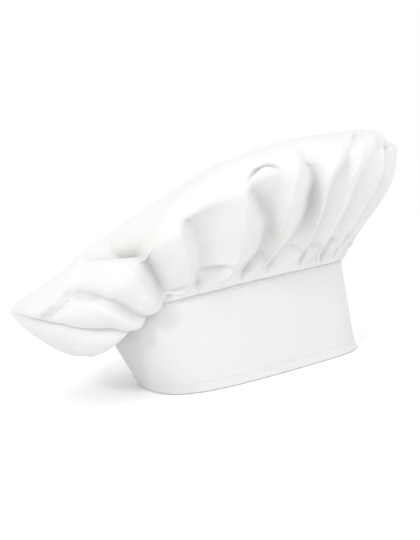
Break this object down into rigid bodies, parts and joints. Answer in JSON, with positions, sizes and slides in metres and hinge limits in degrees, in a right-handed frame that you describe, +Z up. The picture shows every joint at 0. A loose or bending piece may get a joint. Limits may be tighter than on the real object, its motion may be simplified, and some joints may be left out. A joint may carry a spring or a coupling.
{
  "type": "chef toque",
  "caption": "Floppy white cotton chef's toque: a pleated crown drooping over a tall stiffened head band that closes with a hook-and-loop flap at the back.",
  "frame": {"origin": "middle of the hat's box, at the foot of the band, where the hat stands", "axes": "+Z up through the crown; -Y is the forehead, over which the crown droops; +Y is the back, with the closure; +X is the wearer's left"},
  "size_m": [0.303, 0.3676, 0.1995],
  "materials": {
    "crown_cotton": "matte",
    "band_cotton": "matte",
    "lining_cotton": "matte",
    "interfacing": "matte",
    "loop_tape": "matte",
    "hook_tape": "satin"
  },
  "bodies": {
    "hat": {"crown": "crown_cotton", "band_outer": "band_cotton", "band_interfacing": "interfacing", "band_lining": "lining_cotton", "loop_tape": "loop_tape"},
    "flap": {"flap_outer": "band_cotton", "flap_interfacing": "interfacing", "flap_lining": "lining_cotton", "hook_tape": "hook_tape"}
  },
  "joints": [
    {"name": "flap_peel", "type": "hinge", "parent": "hat", "child": "flap", "pos_m": [0.0217, 0.11198, 0.0415], "axis": [0, 0, -1], "range_deg": [0, 120]}
  ]
}
